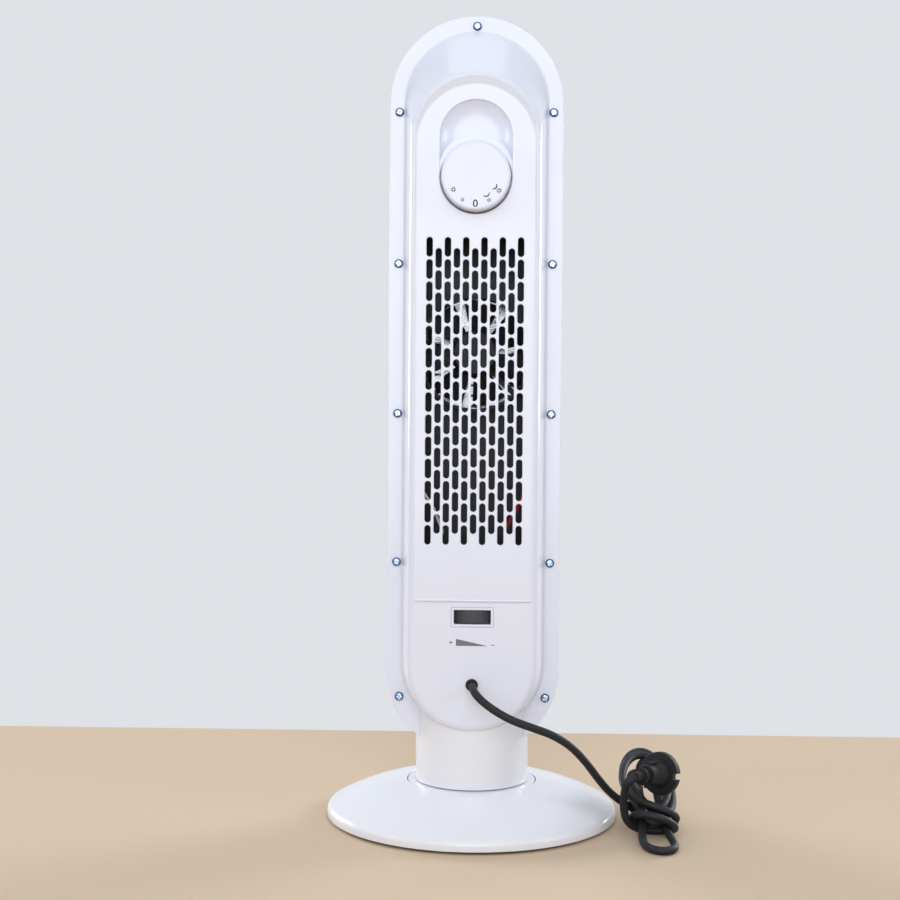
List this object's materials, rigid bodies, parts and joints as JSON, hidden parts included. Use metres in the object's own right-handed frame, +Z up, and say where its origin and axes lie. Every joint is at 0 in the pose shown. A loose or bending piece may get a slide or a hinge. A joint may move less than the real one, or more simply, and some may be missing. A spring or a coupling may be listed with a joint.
{
  "type": "tower fan heater",
  "caption": "Tower ceramic fan heater on a round swivelling base, with a rotary mode knob, thermostat wheel, slotted rear intake, front outlet grille and mains lead.",
  "frame": {"origin": "on the floor, under the middle of the round base", "axes": "+Z up, +Y towards the rear with the knob and the intake slots, -Y towards the outlet"},
  "size_m": [0.3223, 0.262, 0.72],
  "materials": {
    "white_shell": "satin",
    "white_base": "gloss",
    "black_plastic": "matt",
    "grey_plastic": "matt",
    "dark_recess": "matt",
    "cord_black": "matt",
    "pale_rubber": "matt",
    "white_plastic": "matt",
    "natural_nylon": "matt",
    "steel": "satin",
    "screw_steel": "polished",
    "cast_ballast": "matt",
    "aluminium": "satin",
    "brass": "satin",
    "red_insulation": "satin",
    "white_insulation": "satin",
    "ceramic_black": "matt"
  },
  "bodies": {
    "base": {"base_cover": "white_base", "base_plate": "steel", "rubber_feet": "pale_rubber", "ballast_ring": "cast_ballast", "base_screws": "steel", "swivel_post": "natural_nylon", "glide_ring": "natural_nylon", "toothed_sector": "natural_nylon", "sector_screws": "steel"},
    "column": {"turntable": "white_plastic", "neck_sleeve": "white_base", "neck_screws": "steel", "swing_motor": "steel", "motor_screws": "steel", "rear_shell": "white_shell", "front_shell": "white_shell", "front_grille": "dark_recess", "case_screws": "screw_steel", "fan_frame": "black_plastic", "fan_screws": "steel", "fan_motor": "steel", "ptc_frame": "ceramic_black", "ptc_elements": "aluminium", "ptc_fins": "aluminium", "heater_screws": "steel", "thermal_cutout": "white_plastic", "rotary_switch": "black_plastic", "switch_screws": "steel", "thermostat_body": "ceramic_black", "thermostat_screws": "steel", "thermostat_bezel": "grey_plastic", "tip_over_switch": "black_plastic", "red_wire": "red_insulation", "white_wire": "white_insulation", "cord_gland": "cord_black", "cord_tube": "cord_black", "cord_hank": "cord_black", "plug_body": "cord_black", "plug_pins": "screw_steel"},
    "swing_gear": {"swing_pinion": "brass"},
    "mode_knob": {"knob": "white_shell", "switch_shaft": "white_plastic"},
    "heat_wheel": {"thermostat_wheel": "grey_plastic", "wheel_spindle": "steel"},
    "rotor": {"fan_rotor": "black_plastic", "rotor_shaft": "steel"}
  },
  "joints": [
    {"name": "column_swivel", "type": "hinge", "parent": "base", "child": "column", "pos_m": [0, 0, 0], "axis": [0, 0, 1], "range_deg": [-35, 35]},
    {"name": "swing_pinion_spin", "type": "hinge", "parent": "column", "child": "swing_gear", "pos_m": [0, -0.033, 0.04], "axis": [0, 0, 1], "range_deg": [-94, 94]},
    {"name": "knob_turn", "type": "hinge", "parent": "column", "child": "mode_knob", "pos_m": [0, 0.06, 0.5705], "axis": [0, 1, 0], "range_deg": [-54, 54]},
    {"name": "thermostat_turn", "type": "hinge", "parent": "column", "child": "heat_wheel", "pos_m": [0, 0.0332, 0.186], "axis": [0, 0, 1], "range_deg": [-135, 135]},
    {"name": "rotor_spin", "type": "hinge", "parent": "column", "child": "rotor", "pos_m": [0, 0.0025, 0.42], "axis": [0, 1, 0], "continuous": true}
  ],
  "couplings": [
    {"joint": "swing_pinion_spin", "follows": "column_swivel", "ratio": 2.6667}
  ]
}
